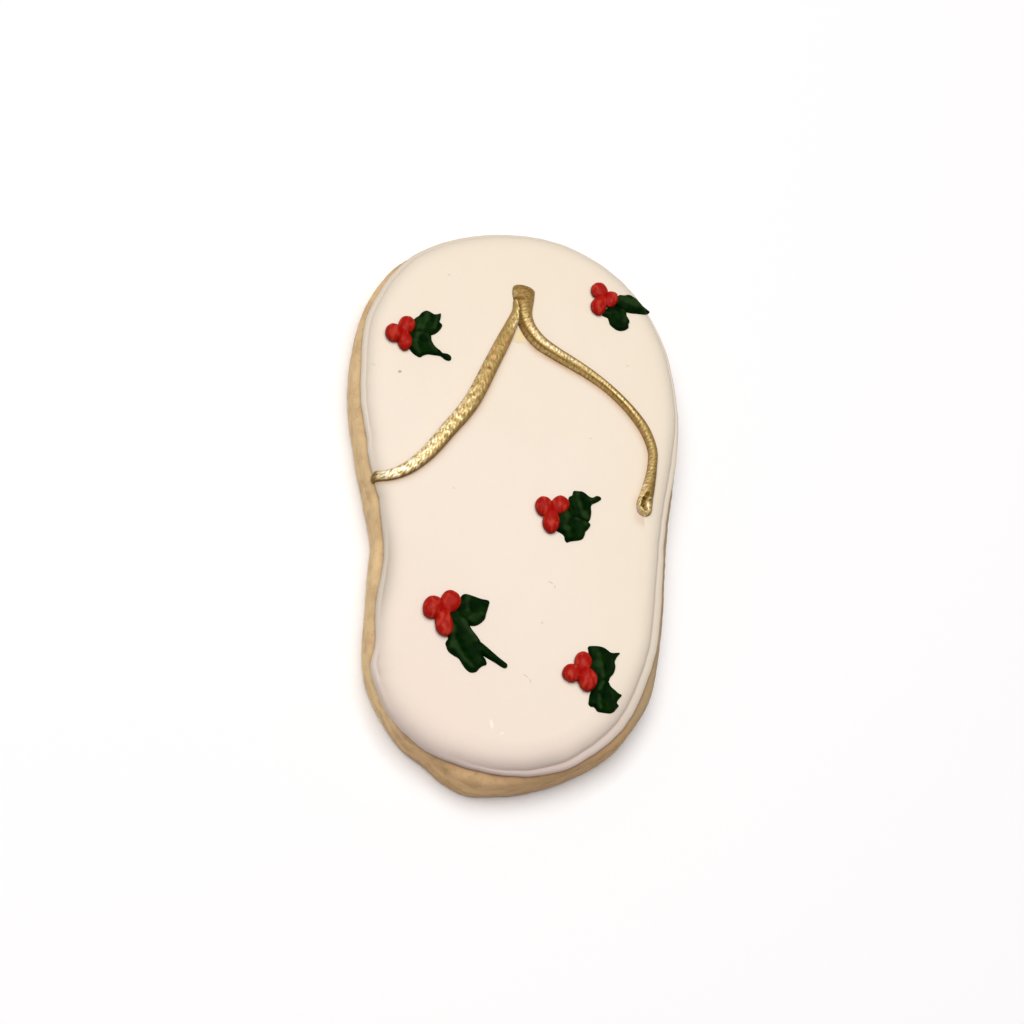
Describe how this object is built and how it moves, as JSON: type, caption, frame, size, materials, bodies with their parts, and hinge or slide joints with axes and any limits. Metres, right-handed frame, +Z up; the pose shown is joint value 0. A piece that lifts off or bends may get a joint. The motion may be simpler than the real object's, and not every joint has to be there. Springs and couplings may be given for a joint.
{
  "type": "iced sugar cookie",
  "caption": "Sandal-shaped sugar cookie with smooth white icing, a piped gold strap and holly sprigs of red berries and dark green leaves.",
  "frame": {"origin": "centre of the box around the cookie, on the flat underside of the biscuit", "axes": "+Y towards the toe end, +X to the right seen from above with the toe away, +Z up out of the iced face"},
  "size_m": [0.0572, 0.1022, 0.0105],
  "materials": {
    "baked_dough": "baked sugar dough, pale golden brown, fine crumb, dry and matte, a little darker on the wall and underside",
    "white_icing": "dried royal icing, creamy white, smooth with a low satin sheen",
    "gold_icing": "piped royal icing brushed with gold lustre paint, fine crosswise wrinkles, shiny on the ridge",
    "red_icing": "dried red royal icing dots, satin",
    "green_icing": "dried dark green royal icing, drawn into points with soft folds, semi-gloss"
  },
  "bodies": {
    "root": {"biscuit": "baked_dough", "icing": "white_icing", "strap": "gold_icing", "toe_left_berry_1": "red_icing", "toe_left_berry_2": "red_icing", "toe_left_berry_3": "red_icing", "toe_left_leaf_1": "green_icing", "toe_left_leaf_2": "green_icing", "toe_right_berry_1": "red_icing", "toe_right_berry_2": "red_icing", "toe_right_berry_3": "red_icing", "toe_right_leaf_1": "green_icing", "toe_right_leaf_2": "green_icing", "arch_berry_1": "red_icing", "arch_berry_2": "red_icing", "arch_berry_3": "red_icing", "arch_leaf_1": "green_icing", "arch_leaf_2": "green_icing", "heel_left_berry_1": "red_icing", "heel_left_berry_2": "red_icing", "heel_left_berry_3": "red_icing", "heel_left_leaf_1": "green_icing", "heel_left_leaf_2": "green_icing", "heel_right_berry_1": "red_icing", "heel_right_berry_2": "red_icing", "heel_right_berry_3": "red_icing", "heel_right_leaf_1": "green_icing", "heel_right_leaf_2": "green_icing"}
  },
  "joints": []
}
